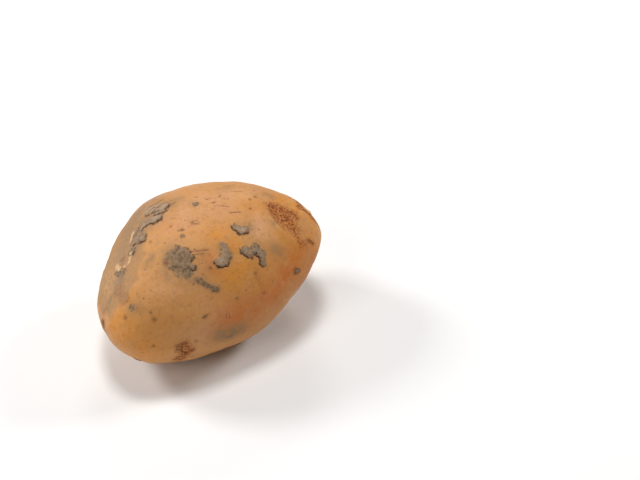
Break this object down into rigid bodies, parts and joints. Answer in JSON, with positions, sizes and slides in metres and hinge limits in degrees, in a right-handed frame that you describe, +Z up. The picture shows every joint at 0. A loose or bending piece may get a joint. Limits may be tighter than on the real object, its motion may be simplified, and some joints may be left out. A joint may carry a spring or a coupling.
{
  "type": "potato",
  "caption": "Whole raw potato with unwashed ochre skin, long oval and slightly bowed, with shallow eyes and flaky grey scab. Lies on a small flat spot.",
  "frame": {"origin": "centre of the box around the tuber, on the surface that it lies on", "axes": "+X along the tuber from the stem end to the rose end, +Y across it to the side that bulges, +Z up from the flat spot that it rests on"},
  "size_m": [0.098, 0.068, 0.059],
  "materials": {
    "potato_skin": "dry, slightly waxy tuber skin, ochre to orange brown, with rough grey-brown scab and russet freckles"
  },
  "bodies": {
    "root": {"potato": "potato_skin"}
  },
  "joints": []
}
